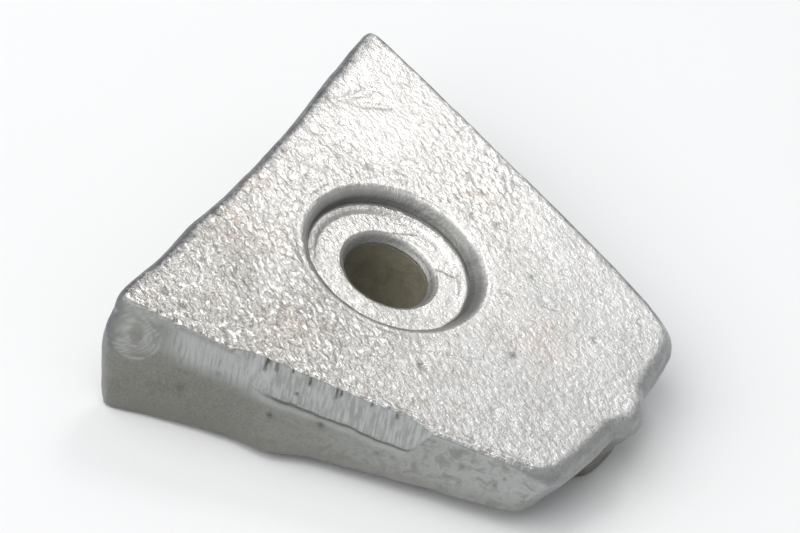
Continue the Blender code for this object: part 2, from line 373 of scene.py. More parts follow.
def hole_profile():
    """Half section from the top face's rim down to the seat, in the bolt's axis frame."""
    rim = [(SHOULDER_START + SHOULDER_LEAD, 0.0), (SHOULDER_START + 0.4, -0.015)]
    shoulder = arc((SHOULDER_START, -SHOULDER_ROUND), SHOULDER_ROUND, 80, 172, 10)
    foot = arc((SEAT_RADIUS, SEAT_FOOT_ROUND - SEAT_DEPTH), SEAT_FOOT_ROUND, 0, -90, 6)
    terrace = (TERRACE_FROM - 0.1, -SEAT_DEPTH)
    lip = arc((LIP_START, -SEAT_DEPTH - LIP_RADIUS), LIP_RADIUS, 90, 152, 7)
    pocket = BORE_RADIUS + BUSH_WALL + CAST_SEAM
    waist = waist_profile(pocket)
    return np.vstack(
        [
            rim,
            shoulder,
            straight(shoulder[-1], foot[0], 3)[1:],
            foot,
            straight(foot[-1], terrace, 6)[1:],
            straight(terrace, lip[0], 10),
            lip,
            straight(lip[-1], LIP_EDGE, 4)[1:],
            [LIP_EDGE, (BORE_RADIUS, -LIP_BOTTOM), (pocket, -LIP_BOTTOM)],
            waist,
        ]
    )


def turned_ring(radius, height, steps):
    """A ring about the bolt's axis; height is measured up from the top face."""
    angle = np.arange(steps) * 2.0 * math.pi / steps
    ring = np.column_stack([radius * np.cos(angle), radius * np.sin(angle)])
    return on_axis(np.column_stack([ring, np.full(steps, height)]))


def slid_to_seat(ring):
    """The ring's points, moved along the bolt's axis to the plane z = 0."""
    return ring - AXIS * (ring[:, 2] / AXIS[2])[:, None]


def hole_rings():
    profile = hole_profile()
    rings = [turned_ring(radius, height, ROUND_STEPS) for radius, height in profile]
    rings.append(slid_to_seat(rings[-1]))
    return rings


# ---------------------------------------------------------------- meshing


def spaced_grid(low, high, spacing):
    """A triangular grid of points over a rectangle, each shifted a little at random."""
    rng = np.random.default_rng(7)
    row = spacing * math.sqrt(3.0) / 2.0
    xs = np.arange(low[0], high[0], spacing)
    ys = np.arange(low[1], high[1], row)
    grid = np.array([(x + spacing * (i % 2) / 2, y) for i, y in enumerate(ys) for x in xs])
    return grid + rng.uniform(-GRID_JITTER, GRID_JITTER, grid.shape) * spacing


def inside(points, loop, margin):
    """Which points lie inside the anticlockwise loop, by more than margin."""
    normals = outward(loop)
    tree = kdtree.KDTree(len(loop))
    for i, p in enumerate(loop):
        tree.insert((p[0], p[1], 0.0), i)
    tree.balance()
    nearest = np.array([tree.find((p[0], p[1], 0.0))[1] for p in points])
    depth = -((points - loop[nearest]) * normals[nearest]).sum(axis=1)
    return depth > margin


def cap_triangles(outer, hole, spacing):
    """Points inside outer and outside hole, and triangles over outer, hole and points."""
    grid = spaced_grid(outer.min(axis=0), outer.max(axis=0), spacing)
    margin = 0.6 * spacing
    grid = grid[inside(grid, outer, margin) & ~inside(grid, hole, -margin)]
    points = np.vstack([outer, hole, grid])
    first = len(outer)
    last = first + len(hole)
    edges = [(i, (i + 1) % first) for i in range(first)]
    edges += [(i, first + (i + 1 - first) % len(hole)) for i in range(first, last)]
    flat = [Vector(p) for p in points.tolist()]
    made = delaunay_2d_cdt(flat, edges, [], 1, 1e-7)
    if len(made[0]) != len(points):
        raise ValueError("the cap's points were merged or added to")
    faces = np.array(made[2])
    over_hole = ((faces >= first) & (faces < last)).all(axis=1)
    return grid, faces[~over_hole]


def ring_triangles(lower, upper):
    """Two triangles between each pair of neighbours on two rings of vertex numbers."""
    lower_next, upper_next = np.roll(lower, -1), np.roll(upper, -1)
    first = np.column_stack([lower, lower_next, upper_next])
    second = np.column_stack([lower, upper_next, upper])
    return np.vstack([first, second])


def numbered(rings, start=0):
    """The vertex numbers of each ring's points, when the rings follow each other."""
    size = len(rings[0])
    return [np.arange(size) + start + i * size for i in range(len(rings))]


def lofted(ids):
    """Triangles between each ring of vertex numbers and the next."""
    return [ring_triangles(a, b) for a, b in zip(ids, ids[1:])]


def casting_mesh():
    """The casting before its lug and its surface marks, as points and triangles."""
    walls, hole = wall_rings(), hole_rings()
    points = np.vstack(walls + hole)
    wall_ids = numbered(walls)
    hole_ids = numbered(hole, start=wall_ids[-1][-1] + 1)
    triangles = lofted(wall_ids) + lofted(hole_ids)

    caps = (
        (wall_ids[-1], hole_ids[0], TOP_GRID, top_height),
        (wall_ids[0], hole_ids[-1], UNDERSIDE_GRID, None),
    )
    for outer, inner, spacing, height in caps:
        outline = points[outer][:, :2]
        rim = points[inner][:, :2]
        grid, faces = cap_triangles(outline, rim, spacing)
        z = height(grid[:, 0]) if height else np.zeros(len(grid))
        ids = np.concatenate([outer, inner, np.arange(len(grid)) + len(points)])
        points = np.vstack([points, np.column_stack([grid, z])])
        faces = ids[faces]
        triangles.append(faces if height else faces[:, ::-1])
    return points, np.vstack(triangles)


def new_object(name, data):
    """A new object in the scene."""
    obj = bpy.data.objects.new(name, data)
    bpy.context.scene.collection.objects.link(obj)
    return obj


def mesh_object(name, points, faces):
    """A mesh object from points in millimetres."""
    mesh = bpy.data.meshes.new(name)
    mesh.from_pydata((points * MM).tolist(), [], faces.tolist())
    mesh.update()
    return new_object(name, mesh)


def lug_outline(inset):
    """The lug's outline, drawn in by inset, anticlockwise from above."""
    half = LUG_HALF_WIDTH - inset
    inner = LUG_INNER + inset
    outer = LUG_OUTER - inset
    corner = LUG_CORNER - inset
    side = half - corner
    y = np.linspace(-side, side, 25)
    face = np.column_stack([outer + LUG_BOW * (1.0 - (y / half) ** 2), y])
    near = np.linspace((inner + corner, -half), (outer - corner, -half), 9)
    back = np.linspace((inner, side), (inner, -side), 17)
    corners = np.array([(inner, -half), (outer, -half), (outer, half), (inner, half)])
    return closed([back, near, face, near[::-1] * (1.0, -1.0)], corners, 6)


def lug_mesh():
    levels = []
    for angle in np.linspace(math.pi / 2, 0.0, 6):
        inset = LUG_EDGE_RADIUS * (1.0 - math.cos(angle))
        levels.append((inset, LUG_EDGE_RADIUS * (1.0 - math.sin(angle)) - LUG_DROP))
    low = levels[-1][1]
    levels += [(0.0, z) for z in np.linspace(low, LUG_ROOT, 8)[1:]]
    rings = []
    for inset, z in levels:
        outline = lug_outline(inset)
        rings.append(np.column_stack([outline, np.full(len(outline), z)]))
    middle = rings[0].mean(axis=0)
    rings = [middle + (rings[0] - middle) * share for share in LUG_FACE_RINGS] + rings
    ids = numbered(rings)
    faces = lofted(ids)
    points = np.vstack(rings + [middle, rings[-1].mean(axis=0)])
    bottom, top = len(points) - 2, len(points) - 1
    for ring, hub, step in ((ids[0], bottom, 1), (ids[-1], top, -1)):
        hubs = np.full(len(ring), hub)
        faces.append(np.column_stack([np.roll(ring, -step), ring, hubs]))
    return points, np.vstack(faces)


def applied(obj):
    """Replaces the object's mesh with what its modifiers make of it."""
    depsgraph = bpy.context.evaluated_depsgraph_get()
    mesh = bpy.data.meshes.new_from_object(obj.evaluated_get(depsgraph))
    obj.modifiers.clear()
    obj.data = mesh


def join_lug(body):
    lug = mesh_object("lug_tool", *lug_mesh())
    union = body.modifiers.new("lug", "BOOLEAN")
    union.operation = "UNION"
    union.solver = "MANIFOLD"
    union.object = lug
    bpy.context.view_layer.update()
    applied(body)
    bpy.data.objects.remove(lug, do_unlink=True)


# ---------------------------------------------------------------- marks on the casting

# The -Y side, seen from outside: along runs from the blunt corner to the thin end, and
# depth is measured straight down from the top face.
NEAR_CORNER = np.array([TOP_PLAN["thick_end"], -TOP_PLAN["thick_half"]])
NEAR_RUN = np.array([TOP_PLAN["thin_end"], -TOP_PLAN["thin_half"]]) - NEAR_CORNER
NEAR_LENGTH = np.linalg.norm(NEAR_RUN)
NEAR_RUN = NEAR_RUN / NEAR_LENGTH
NEAR_OUT = np.array([NEAR_RUN[1], -NEAR_RUN[0]])

# Where a mark starts and stops along the side, or down it: it fades over each pair.
CRISP_SPAN = ((11.0, 15.0), (43.0, 47.0))
FILED_SPAN = ((12.9, 16.4), (33.4, 36.6))
BURR_SPAN = ((15.5, 19.5), (33.0, 35.0))
EDGE_HIGHLIGHT_SPAN = ((0.5, 3.0), (12.0, 15.0))
SCRAPED_SPAN = ((4.5, 9.5), (17.0, 20.0))
SCRAPED_DEPTHS = ((0.2, 1.0), (3.2, 6.4))

# The facet reaches this far down the side, and nothing is filed outside these bounds.
FILED_REACH = 4.0
FILED_BOUNDS = (10.0, 38.0)

# How much the side leans in going down, how much the facet leans the other way, and how
# deep and how high the step is at the facet's lower edge.
WALL_LEAN = 0.045
FILED_LEAN = 0.15
FILED_STEP = 0.10
FILED_STEP_HEIGHT = 0.7

# The top face is drawn back from the facet within this distance of the edge line, and
# the facet's finish reaches this far over its own top edge.
FILED_BLEND = 2.6
FILED_RIM = 0.08


def near_side(points):
    """(along, out, depth) of each point, against the -Y side's top edge line."""
    offset = points[:, :2] - NEAR_CORNER
    return offset @ NEAR_RUN, offset @ NEAR_OUT, top_height(points[:, 0]) - points[:, 2]


def filed_reach(along):
    """How far down the side the edge is filed away, at each place along it."""
    wobble = 0.10 * np.sin(along * 1.1) + 0.05 * np.sin(along * 2.9 + 1.0)
    return within(along, *FILED_SPAN) * (FILED_REACH + wobble)


def side_bow_at(span):
    """How far a long side's top edge bows out, at this share of its length."""
    return TOP_PLAN["side_bow"] * 4.0 * span * (1.0 - span)


def file_near_edge(points):
    """Files the side's top edge down to a facet.

    Returns how far inside the facet's edges each point is, below 0 outside it.
    """
    along, out, depth = near_side(points)
    bow = side_bow_at(along / NEAR_LENGTH)
    reach = filed_reach(along)
    step = FILED_STEP * rising(0.0, FILED_STEP_HEIGHT, reach - depth)
    limit = bow - WALL_LEAN * reach - FILED_LEAN * (reach - depth) - step
    near = (depth < reach) & (out - bow > -FILED_BLEND)
    near &= (along > FILED_BOUNDS[0]) & (along < FILED_BOUNDS[1])
    on_flat = depth < 0.001
    rim = bow - NEAR_EDGE_RADIUS
    inner = bow - FILED_BLEND
    squeezed = inner + (out - inner) * (limit - inner) / (rim - inner)
    cut = np.where(on_flat, np.minimum(out, squeezed), np.minimum(out, limit))
    shift = np.where(near, out - cut, 0.0)
    points[:, :2] -= NEAR_OUT * shift[:, None]
    from_rim = np.where(on_flat, cut - limit, depth) + FILED_RIM
    return np.where(near, np.minimum(reach - depth, from_rim), -1.0)


# (along, depth, radius, how deep) of pits and nicks in the -Y side.
SIDE_PITS = (
    (18.8, 6.6, 0.30, 0.16), (24.2, 5.4, 0.45, 0.12), (21.1, 2.6, 0.20, 0.16),
    (12.6, 4.4, 0.40, 0.07), (30.6, 6.2, 0.35, 0.08), (39.5, 3.1, 0.40, 0.07),
    (9.0, 8.4, 0.60, 0.07),
)

# (along, top, bottom, how deep) of the short nicks down from the filed strip's top, with
# painted shade in them.
NICKS = (
    (17.3, 0.1, 1.8, 0.14), (17.6, 0.0, 0.9, 0.12), (18.5, 0.0, 1.3, 0.12),
    (20.2, 0.0, 0.7, 0.10), (22.2, 0.0, 1.3, 0.14), (25.2, 0.1, 1.5, 0.16),
    (25.6, 0.0, 1.0, 0.14), (29.0, 0.0, 0.6, 0.10), (31.8, 0.0, 0.9, 0.10),
)
NICK_HALF_WIDTH = 0.16
NICK_DARKNESS = 0.9

# A pit this deep gets its darkest painted shade, which is less dark on the top face.
PIT_DARK_DEPTH = 0.2
TOP_PIT_DARKNESS = 0.6

# The rings scratched into the side by the blunt corner: (along, depth), and their radii.
SWIRL_AT = (3.3, 3.6)
SWIRLS = (0.8, 1.15, 1.5, 1.9, 2.2, 2.6)
SWIRL_HALF_WIDTH = 0.11
SWIRL_DEPTH = 0.04

# Furrows down the filed and the scraped part of the side: width, squeeze and heights.
FURROW_WIDTH = 0.45
FURROW_SQUEEZE = 0.12
FILED_FURROWS = 0.035
SCRAPED_FURROWS = 0.02

# (middle, half width, height) of ridges: the burr and the crease are below the facet's
# lower edge, and the bead is on the top face's near edge.
BURR = (0.75, 0.45, 0.06)
CREASE = (0.14, 0.13, -0.045)
BEAD = (-0.75, 0.35, 0.07)
BEAD_GROWS_OVER = (14.0, 36.0)

# (height, size, seed) of the lumps in the cast surfaces.
CAST_SWELLS = (0.07, 8.0, 3.1)
WALL_LUMPS = ((0.07, 3.2, 11.7), (0.036, 1.1, 5.3), (0.016, 0.5, 71.0))
LOW_EDGE_LUMPS = (0.06, 0.9, 91.0)
SEAT_LUMPS = (0.03, 2.0, 8.8)
PEBBLES = ((0.050, 2.6, 21.3), (0.026, 0.45, 47.1))
SMALL_PEBBLES = (0.056, 0.72, 33.9)
RECESS_WALL_LUMPS = (0.13, 1.0, 17.0)
BORE_LUMPS = ((0.05, 2.4, 4.4), (0.025, 0.8, 9.1))
DEEPEST_BORE_LUMP = 0.04

# (x, y, radius, how deep) of pits in the top face.
TOP_PITS = (
    (16.4, -2.4, 0.34, 0.16), (3.2, 12.6, 0.35, 0.12), (6.0, 13.4, 0.45, 0.12),
    (-8.6, 9.8, 0.40, 0.12), (-15.4, -24.2, 0.45, 0.14), (-13.0, -24.6, 0.35, 0.12),
    (9.6, -11.8, 0.40, 0.12), (21.8, 6.8, 0.35, 0.10), (12.4, 9.6, 0.30, 0.10),
    (-16.8, 4.4, 0.40, 0.10), (-9.2, -12.8, 0.45, 0.09), (2.2, -15.6, 0.50, 0.08),
    (18.4, -11.2, 0.35, 0.09), (-14.2, 13.0, 0.35, 0.09),
)

# (start, end, half width, how deep) of dents and scratches in the top face.
TOP_STROKES = (
    ((-16.6, 15.6), (-14.4, 19.8), 0.60, 0.14),
    ((-14.0, 17.6), (-11.6, 19.6), 0.55, 0.12),
    ((-15.6, 20.2), (-13.2, 21.2), 0.35, 0.08),
    ((-6.2, -17.4), (6.4, -14.2), 0.16, 0.05),
    ((10.2, 4.6), (17.2, 7.6), 0.15, 0.05),
    ((-12.4, -2.4), (-11.0, -9.6), 0.18, 0.04),
    ((8.2, -10.4), (13.8, -6.2), 0.18, 0.05),
)


def stroke_distance(points, start, end):
    """Distance of each point in plan from the stretch between start and end."""
    start, end = np.array(start), np.array(end)
    run = end - start
    share = np.clip((points - start) @ run / (run @ run), 0.0, 1.0)
    return np.linalg.norm(points - start - share[:, None] * run, axis=1)


def vertex_normals(points, faces):
    a, b, c = (points[faces[:, k]] for k in range(3))
    face_normals = np.cross(b - a, c - a)
    normals = np.zeros_like(points)
    for k in range(3):
        np.add.at(normals, faces[:, k], face_normals)
    return normals / np.maximum(np.linalg.norm(normals, axis=1, keepdims=True), 1e-12)


# (x, y, radius) of the faint brown stains on the top face.
STAINS = (
    (-14.0, -9.0, 3.6), (-3.0, -18.5, 3.0), (18.6, 2.2, 3.2),
    (-16.5, -1.0, 2.6), (2.0, 15.5, 2.4),
)

# (start, end) of the hairline cracks in the recess's floor, with painted shade in them.
CRACKS = (
    ((-2.7, 5.2), (-0.6, 7.1)),
    ((3.0, 4.1), (5.5, 4.8)),
)
CRACK_HALF_WIDTH = 0.12
CRACK_DEPTH = 0.03
CRACK_DARKNESS = 0.7

# The side of the recess that the low terrace is on, in plan.
TERRACE_SIDE = np.array([-0.45, 0.89])

# The side of the recess whose wall gets the most painted shade, and whose floor is painted
# lighter.
SHADED_SIDE = np.array([0.67, 0.74])

# (x, y, radius) of the worn patch of the top face, and of the nook below the rib,
# whose painted shade fades out over these heights.
WORN_AT = (-14.5, 18.5, 10.0)
NOOK_AT = (27.5, 0.6, 5.4)
NOOK_SHADE_TOP = (2.5, 5.2)

# How far the foot of the recess's wall lies off the bolt's axis, and in which direction.
FOOT_SHIFT = np.array([-0.20, -0.22, 0.0])

# The grain of the top face runs this way in plan, and its lumps are longer along it.
GRAIN_ALONG = np.array([0.83, -0.56])
GRAIN_STRETCH = 1.5


def along_grain(points):
    """Points squeezed along the grain, so that noise on them comes out stretched."""
    across = np.array([-GRAIN_ALONG[1], GRAIN_ALONG[0]])
    plan = points[:, :2]
    return np.column_stack(
        [plan @ GRAIN_ALONG / GRAIN_STRETCH, plan @ across, points[:, 2]]
    )


def spot(points, x, y, radius):
    """1 at this place in plan, falling to 0 away from it."""
    distance = np.hypot(points[:, 0] - x, points[:, 1] - y) / radius
    return np.exp(-(distance**2))


# Where the block is fuller or leaner than its outline: (x, y, radius, z where the
# difference starts, z where it is full, and how far it moves the walls in x and y).
FILLS = (
    (-19.5, -28.5, 4.5, 5.0, 11.0, -0.30, -0.15),
    (-19.5, 28.5, 8.0, 5.0, 11.0, -0.12, 0.0),
    (-18.8, 18.0, 7.0, 5.0, 11.0, -0.44, 0.0),
    (-10.0, 26.4, 6.0, 5.0, 11.0, 0.0, 0.20),
    (-18.6, -13.0, 4.5, 5.0, 11.0, -0.36, 0.0),
    (-16.5, 28.5, 6.0, 5.0, 11.0, 0.0, 0.20),
    (18.0, 18.5, 12.0, 3.0, 7.0, 0.10, 0.42),
    (-17.5, -28.0, 3.5, 5.0, 1.0, -0.05, -0.50),
    (24.0, -15.6, 7.0, 4.0, 1.0, 0.0, -0.30),
    (29.4, 3.2, 2.6, 5.4, 3.9, -0.55, -0.15),
    (27.8, 3.4, 3.0, 2.8, 0.6, 0.80, 0.20),
    (28.6, -0.2, 2.2, 4.2, 2.0, 0.75, 0.0),
    (28.6, -0.2, 2.2, 0.6, -0.6, -0.75, 0.0),
)

# Nothing is moved this near the bolt's axis, and all of it farther out.
FILLS_FROM_BOLT = (11.0, 14.0)


def fill_out(points):
    """Moves the walls a little where the block is fuller or leaner than its outline."""
    plan, z = points[:, :2].copy(), points[:, 2]
    off_bolt = rising(*FILLS_FROM_BOLT, np.linalg.norm(plan, axis=1))
    for x, y, radius, start, full, dx, dy in FILLS:
        share = spot(plan, x, y, radius) * rising(start, full, z) * off_bolt
        points[:, :2] += share[:, None] * (dx, dy)


def rim_shade(points):
    """How much painted shade the top edge gets, from 1 at its outline to 0, along the thick
    and far sides.
    """
    x, y = points[:, 0], points[:, 1]
    hollow = THICK_END_HOLLOW * (1.0 - (y / TOP_PLAN["thick_half"]) ** 2)
    from_thick_end = x - TOP_PLAN["thick_end"] - hollow
    _, far_out, _ = near_side(points * (1.0, -1.0, 1.0))
    length = TOP_PLAN["thin_end"] - TOP_PLAN["thick_end"]
    span = np.clip((x - TOP_PLAN["thick_end"]) / length, 0.0, 1.0)
    from_far_side = side_bow_at(span) - far_out
    wander = 0.35 * lumps(points, 1.3, 66.0)
    thick_shade = fading(0.3, 2.0, from_thick_end + wander)
    far_shade = fading(0.1, 1.1, from_far_side + wander)
    return np.maximum(0.9 * thick_shade, 0.75 * far_shade)


def bolt_distance(points):
    """(radius from the bolt's axis, depth along it below the top face, unit spokes)."""
    depth = TOP_AT_AXIS * AXIS[2] - points @ AXIS
    center = on_axis(np.column_stack([np.zeros((len(points), 2)), -depth]))
    spokes = points - center
    radius = np.linalg.norm(spokes, axis=1)
    return radius, depth, spokes / np.maximum(radius, 1e-9)[:, None]


def survey(points, faces):
    """Where each point of the casting lies, with room for its relief and its pits.

    A region is 1 at the points that it names and falls to 0 round them. The value of up
    is 1 where a point faces as the top face does, and 0 where it faces sideways.
    """
    at = SimpleNamespace(points=points, filed_inside=file_near_edge(points))
    at.filed = rising(-0.1, 0.1, at.filed_inside)
    at.normals = vertex_normals(points, faces)
    at.along, at.out, at.depth = near_side(points)
    at.radius, at.below_top, at.spokes = bolt_distance(points)
    at.relief, at.pit = np.zeros((2, len(points)))
    at.facing_near = at.normals[:, :2] @ NEAR_OUT
    at.up = at.normals @ AXIS
    x, radius = points[:, 0], at.radius
    at.recess = fading(SHOULDER_START + 0.2, SHOULDER_START + SHOULDER_LEAD, radius)
    at.recess *= fading(3.0, 4.0, at.below_top)
    at.outer = 1.0 - at.recess
    at.thin_side = rising(24.0, 26.5, x)
    low_up = 0.60 + 0.22 * at.thin_side
    at.flat_top = rising(low_up, low_up + 0.25 - 0.10 * at.thin_side, at.up)
    at.flat_top *= 1.0 - at.recess * fading(0.90, 0.99, at.up)
    at.seat_flat = rising(0.9, 0.99, -at.normals[:, 2])
    at.near = rising(0.80, 0.95, at.facing_near) * (at.out > -4.0)
    in_pocket = radius < BORE_RADIUS + BUSH_WALL + 0.1
    in_pocket &= at.below_top > SEAT_DEPTH + 0.9
    at.free = np.where(in_pocket, 0.0, 1.0)
    at.calm = 1.0 - 0.45 * rising(1.0, 9.0, x)
    at.calm *= 1.0 - 0.55 * spot(points, *WORN_AT)
    at.finer = rising(2.0, 14.0, x)
    return at


def add_cast_relief(at):
    """Lumps on the walls and the seat, and pebbles on the top face."""
    sides = (1.0 - at.flat_top) * (1.0 - at.seat_flat)
    low_edge = fading(0.4, 1.6, np.abs(at.points[:, 2]))
    at.relief += uneven(at.points, CAST_SWELLS)
    at.relief += sides * uneven(at.points, *WALL_LUMPS)
    at.relief += sides * low_edge * uneven(at.points, LOW_EDGE_LUMPS)
    at.relief *= 1.0 - 0.7 * at.filed
    stretched = along_grain(at.points)
    pebbles = uneven(stretched, *PEBBLES)
    pebbles += (1.0 - 0.45 * at.finer) * uneven(stretched, SMALL_PEBBLES)
    at.relief += at.flat_top * at.calm * (1.0 - 0.72 * at.recess) * pebbles
    at.relief += at.seat_flat * uneven(at.points, SEAT_LUMPS)


def shape_recess(at):
    """Adds the low terrace, makes the recess's wall uneven and shifts its foot."""
    away = rising(-0.45, 0.35, at.spokes[:, :2] @ TERRACE_SIDE)
    share = (at.radius - TERRACE_FROM) / (TERRACE_TO - TERRACE_FROM)
    terrace = TERRACE_LOW + (TERRACE_HIGH - TERRACE_LOW) * np.clip(share, 0.0, 1.0)
    terrace *= rising(TERRACE_FROM - 0.10, TERRACE_FROM + 0.32, at.radius)
    on_terrace = at.radius < TERRACE_TO + 0.02
    on_terrace &= at.below_top < SEAT_DEPTH + 0.05
    lift = np.maximum(0.0, terrace - (SEAT_DEPTH - at.below_top)) * on_terrace
    at.points += AXIS * (lift * away * at.recess)[:, None]
    wander = uneven(at.spokes * 3.0, RECESS_WALL_LUMPS) * at.recess
    at.points += at.spokes * (wander * rising(6.5, 8.5, at.radius))[:, None]
    foot = rising(0.6, 1.4, at.below_top) * rising(6.8, 8.2, at.radius)
    at.points += FOOT_SHIFT * (at.recess * foot)[:, None]


def sink(at, where, deep, darkness=0.0):
    """Sinks the surface by deep in the region where, and paints shade this dark into it."""
    at.relief -= deep * where
    at.pit = np.maximum(at.pit, darkness * where)


def pit_side(at):
    """Pits and nicks in the -Y side."""
    for along, depth, size, deep in SIDE_PITS:
        distance = np.hypot(at.along - along, at.depth - depth)
        hollow = at.near * bump_at(distance, 0.0, size)
        sink(at, hollow, deep, min(1.0, deep / PIT_DARK_DEPTH))
    for along, top, bottom, deep in NICKS:
        stroke = bump_at(at.along, along, NICK_HALF_WIDTH) * at.near
        stroke *= within(at.depth, (top - 0.2, top), (bottom - 0.4, bottom))
        sink(at, stroke, deep, NICK_DARKNESS)


def scratch_side(at):
    """Furrows, rings, a burr and a crease left on the -Y side by filing and handling."""
    at.scraped = within(at.along, *SCRAPED_SPAN) * within(at.depth, *SCRAPED_DEPTHS)
    at.scraped *= rising(-1.6, -0.6, at.out) * (1.0 - at.flat_top)
    run = np.column_stack([at.along, at.depth * FURROW_SQUEEZE, at.along * 0.0])
    furrows = at.filed * FILED_FURROWS + at.scraped * SCRAPED_FURROWS
    at.relief += at.near * furrows * lumps(run, FURROW_WIDTH, 2.2)

    down = (at.depth - SWIRL_AT[1]) * 0.8
    from_middle = np.hypot(at.along - SWIRL_AT[0], down)
    from_middle += 0.3 * lumps(at.points, 2.4, 55.0)
    at.swirls = 0.3 * bump_at(from_middle, 1.2, 1.3)
    for reach in SWIRLS:
        broken = rising(-0.45, 0.15, lumps(at.points, 1.5, 77.0 + 3.0 * reach))
        at.swirls += broken * bump_at(from_middle, reach, SWIRL_HALF_WIDTH)
    at.swirls *= at.near
    at.relief -= SWIRL_DEPTH * at.swirls

    below_strip = at.depth - filed_reach(at.along)
    by_strip = within(at.along, *BURR_SPAN) * at.near
    at.burr = bump_at(below_strip, *BURR[:2]) * by_strip
    at.crease = bump_at(below_strip, *CREASE[:2]) * by_strip
    at.relief += BURR[2] * at.burr + CREASE[2] * at.crease


def mark_top(at):
    """A bead along the top face's near edge, pits, dents and scratches, and cracks."""
    on_top = at.flat_top * at.outer
    bead = bump_at(at.out, *BEAD[:2]) * rising(*BEAD_GROWS_OVER, at.along)
    bead *= rising(-2.5, -1.0, at.out) * (at.filed_inside < 0.0)
    at.relief += BEAD[2] * bead * on_top * (1.0 + lumps(at.points, 0.9, 61.0))
    for x, y, size, deep in TOP_PITS:
        hollow = on_top * spot(at.points, x, y, size)
        sink(at, hollow, deep, TOP_PIT_DARKNESS * min(1.0, deep / PIT_DARK_DEPTH))
    for start, end, half_width, deep in TOP_STROKES:
        distance = stroke_distance(at.points[:, :2], start, end)
        sink(at, on_top * bump_at(distance, 0.0, half_width), deep)
    for start, end in CRACKS:
        distance = stroke_distance(at.points[:, :2], start, end)
        crack = bump_at(distance, 0.0, CRACK_HALF_WIDTH) * at.recess * at.flat_top
        sink(at, crack, CRACK_DEPTH, CRACK_DARKNESS)


def recess_masks(at):
    """The recess's wall, painted shade at its foot and up its wall on the shaded side, and the
    lighter side of its floor.
    """
    to_shaded_side = at.spokes[:, :2] @ SHADED_SIDE
    off_floor = rising(7.6, 8.0, at.radius)
    wall = at.recess * fading(0.75, 0.985, at.up)
    wall *= rising(0.03, 0.2, at.below_top)
    foot = rising(0.45, 1.1, at.below_top) * off_floor
    shaded_side = rising(0.1, 0.8, to_shaded_side) * off_floor
    return {
        "wall": wall,
        # Painted shade: dark in the crease at the wall's foot and on the wall's shaded side.
        "foot": wall * np.maximum(foot, 0.6 * shaded_side),
        "floor": at.recess * at.flat_top * rising(-0.5, 0.9, to_shaded_side),
    }


def finish_masks(at):
    """The masks that the casting's finish reads, by name."""
    up, points = at.up, at.points
    by_near_side = at.out > -2.0
    near_skin = rising(0.12, 0.6, at.below_top)
    skin = np.where(by_near_side, near_skin, rising(0.3, 1.2, at.below_top))
    skin = np.maximum(skin, 0.8 * fading(0.5, 0.9, up))
    ends = fading(0.50, 0.93, up) * fading(0.2, 0.6, at.near)
    # Painted shade on the rounded top edges that turn away, except along most of the -Y side.
    turned = within(up, (0.20, 0.50), (0.85, 0.97)) * fading(0.15, 0.45, at.facing_near)
    turned *= 1.0 - rising(-2.5, -1.0, at.out) * (1.0 - at.thin_side)
    rim = np.maximum((0.9 - 0.5 * at.thin_side) * turned, rim_shade(points) * (up > 0.0))
    # Painted highlight on the rounded top edge near the blunt corner.
    edge_highlight = rising(0.10, 0.35, up) * (1.0 - at.flat_top) * by_near_side
    edge_highlight *= within(at.along, *EDGE_HIGHLIGHT_SPAN)
    grain = at.flat_top * at.calm * (1.0 - 0.4 * at.recess)
    stain = sum(spot(points, *place) for place in STAINS)
    return recess_masks(at) | {
        # grain and fleck also say where painted shade and painted glints go on the top face.
        "grain": grain * (1.0 - 0.3 * at.finer),
        "fleck": at.flat_top * at.finer * at.outer,
        "skin": at.outer * skin * (1.0 - at.seat_flat),
        "filed": np.where(at.near > 0.3, at.filed_inside, -1.0),
        "scraped": at.scraped,
        # The burr's filed colour, and a painted highlight on the rounded edge near the blunt
        # corner.
        "burr": np.maximum(at.burr, 0.8 * edge_highlight),
        "nook": spot(points, *NOOK_AT) * fading(*NOOK_SHADE_TOP, points[:, 2]),
        "ends": ends * at.outer * at.free,
        "rim": rim * at.outer,
        "swirl": np.minimum(at.swirls, 1.0),
        # Painted shade in the pits, nicks and cracks, and along the crease.
        "pit": np.maximum(at.pit, 0.8 * at.crease),
        "under": at.seat_flat,
        "stain": np.minimum(stain, 1.0),
    }


def roughen(points, faces):
    """Adds the casting's surface to the points; returns the masks its finish needs."""
    fill_out(points)
    at = survey(points, faces)
    add_cast_relief(at)
    shape_recess(at)
    pit_side(at)
    scratch_side(at)
    mark_top(at)
    points += at.normals * (at.relief * at.free)[:, None]
    return finish_masks(at)


def store_masks(mesh, masks):
    for name, values in masks.items():
        attribute = mesh.attributes.new(name, "FLOAT", "POINT")
        attribute.data.foreach_set("value", values.astype(np.float32))


def make_casting(material):
    body = mesh_object("anode_casting", *casting_mesh())
    join_lug(body)
    tidy = bmesh.new()
    tidy.from_mesh(body.data)
    bmesh.ops.triangulate(tidy, faces=tidy.faces)
    tidy.to_mesh(body.data)
    tidy.free()
    mesh = body.data
    points = np.empty(len(mesh.vertices) * 3)
    mesh.vertices.foreach_get("co", points)
    points = points.reshape(-1, 3) / MM
    faces = np.empty(len(mesh.loops), dtype=np.int32)
    mesh.loops.foreach_get("vertex_index", faces)
    faces = faces.reshape(-1, 3)
    masks = roughen(points, faces)
    mesh.vertices.foreach_set("co", (points * MM).ravel())
    mesh.update()
    store_masks(mesh, masks)
    mesh.materials.clear()
    mesh.materials.append(material)
    mesh.shade_smooth()
    mesh.set_sharp_from_angle(angle=math.radians(50))
    return body


# ---------------------------------------------------------------- the steel bush


